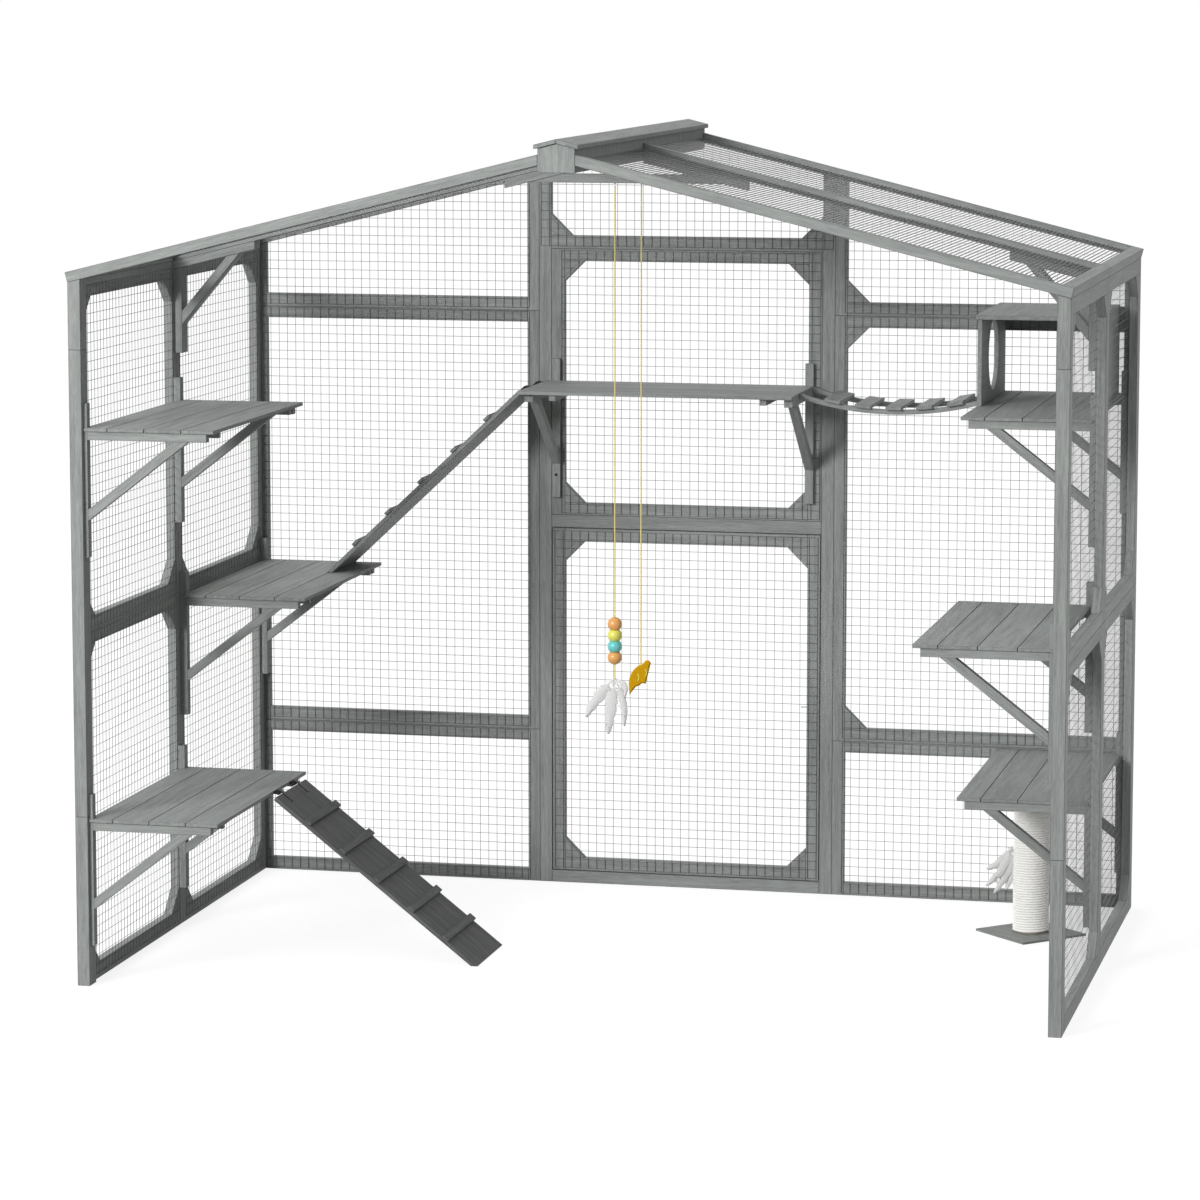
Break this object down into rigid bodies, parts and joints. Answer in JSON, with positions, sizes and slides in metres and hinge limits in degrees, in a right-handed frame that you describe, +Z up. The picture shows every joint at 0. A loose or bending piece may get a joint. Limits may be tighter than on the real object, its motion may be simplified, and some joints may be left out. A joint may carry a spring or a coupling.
{
  "type": "outdoor cat enclosure",
  "caption": "Walk-in gabled timber cat enclosure with wire mesh walls, open front, translucent roof, shelves, ramps, slat bridge, cat box, scratching post and hanging toys.",
  "frame": {"origin": "on the ground under the middle of the enclosure", "axes": "+X along the open front to the right, +Y from the open front to the rear wall, +Z up"},
  "size_m": [2.5836, 1.612, 2.2093],
  "materials": {
    "grey_timber": "matt grey stain",
    "mesh_wire": "coated wire",
    "steel_fittings": "zinc plated",
    "roof_plastic": "translucent ribbed sheet",
    "sisal_rope": "coarse rope",
    "post_core": "matt",
    "pale_board": "matt",
    "feather": "soft",
    "painted_beads": "satin paint",
    "gold_felt": "felt",
    "toy_cord": "twisted cord"
  },
  "bodies": {
    "enclosure": {"front_posts": "grey_timber", "left_lower_wall_panel": "grey_timber", "left_upper_wall_panel": "grey_timber", "left_wall_gussets": "grey_timber", "left_wall_mesh": "mesh_wire", "right_lower_wall_panel": "grey_timber", "right_upper_wall_panel": "grey_timber", "right_wall_gussets": "grey_timber", "right_wall_mesh": "mesh_wire", "back_left_frames": "grey_timber", "back_right_frames": "grey_timber", "centre_frame": "grey_timber", "upper_infill_frame": "grey_timber", "back_gussets": "grey_timber", "back_left_mesh": "mesh_wire", "back_right_mesh": "mesh_wire", "back_centre_mesh": "mesh_wire", "door_hinge_fixed_leaves": "steel_fittings", "bolt_keeper": "steel_fittings", "roof_rafters": "grey_timber", "eave_rails": "grey_timber", "roof_sheets": "roof_plastic", "ridge_boards": "grey_timber", "ridge_cap": "grey_timber", "roof_collar": "grey_timber", "roof_knees": "grey_timber", "left_top_shelf": "grey_timber", "left_middle_shelf": "grey_timber", "left_bottom_shelf": "grey_timber", "right_top_shelf": "grey_timber", "right_middle_shelf": "grey_timber", "right_bottom_shelf": "grey_timber", "left_shelf_brackets": "grey_timber", "right_shelf_brackets": "grey_timber", "long_shelf": "grey_timber", "long_shelf_brackets": "grey_timber", "cat_box": "grey_timber", "ramp_hinge_lugs": "steel_fittings", "bridge_strips": "grey_timber", "bridge_slats": "grey_timber", "scratch_base": "pale_board", "scratch_core": "post_core", "scratch_sisal": "sisal_rope", "scratch_feathers": "feather", "toy_eyes": "steel_fittings"},
    "door": {"door_frame": "grey_timber", "door_gussets": "grey_timber", "door_mesh": "mesh_wire", "door_hinge_door_leaves": "steel_fittings", "bolt_body": "steel_fittings"},
    "bolt": {"bolt_rod": "steel_fittings"},
    "lower_ramp": {"lower_ramp": "grey_timber", "lower_ramp_straps": "steel_fittings"},
    "upper_ramp": {"upper_ramp": "grey_timber", "upper_ramp_straps": "steel_fittings"},
    "left_toy": {"left_toy_cord": "toy_cord", "toy_beads": "painted_beads", "toy_feathers": "feather"},
    "right_toy": {"right_toy_cord": "toy_cord", "toy_fish": "gold_felt"}
  },
  "joints": [
    {"name": "door_hinge", "type": "hinge", "parent": "enclosure", "child": "door", "pos_m": [-0.392, 0.803, 0.536], "axis": [0, 0, 1], "range_deg": [0, 100]},
    {"name": "bolt_slide", "type": "slide", "parent": "door", "child": "bolt", "axis": [1, 0, 0], "range_m": [0, 0.02]},
    {"name": "lower_ramp_hinge", "type": "hinge", "parent": "enclosure", "child": "lower_ramp", "pos_m": [-0.89, -0.216, 0.4365], "axis": [0, -1, 0], "range_deg": [0, 35]},
    {"name": "upper_ramp_hinge", "type": "hinge", "parent": "enclosure", "child": "upper_ramp", "pos_m": [-0.416, 0.646, 1.4575], "axis": [0, 1, 0], "range_deg": [0, 30]},
    {"name": "left_toy_swing", "type": "hinge", "parent": "enclosure", "child": "left_toy", "pos_m": [-0.031, 0, 2.05814], "axis": [1, 0, 0], "range_deg": [-20, 20]},
    {"name": "right_toy_swing", "type": "hinge", "parent": "enclosure", "child": "right_toy", "pos_m": [0.041, 0, 2.05814], "axis": [1, 0, 0], "range_deg": [-20, 20]}
  ]
}
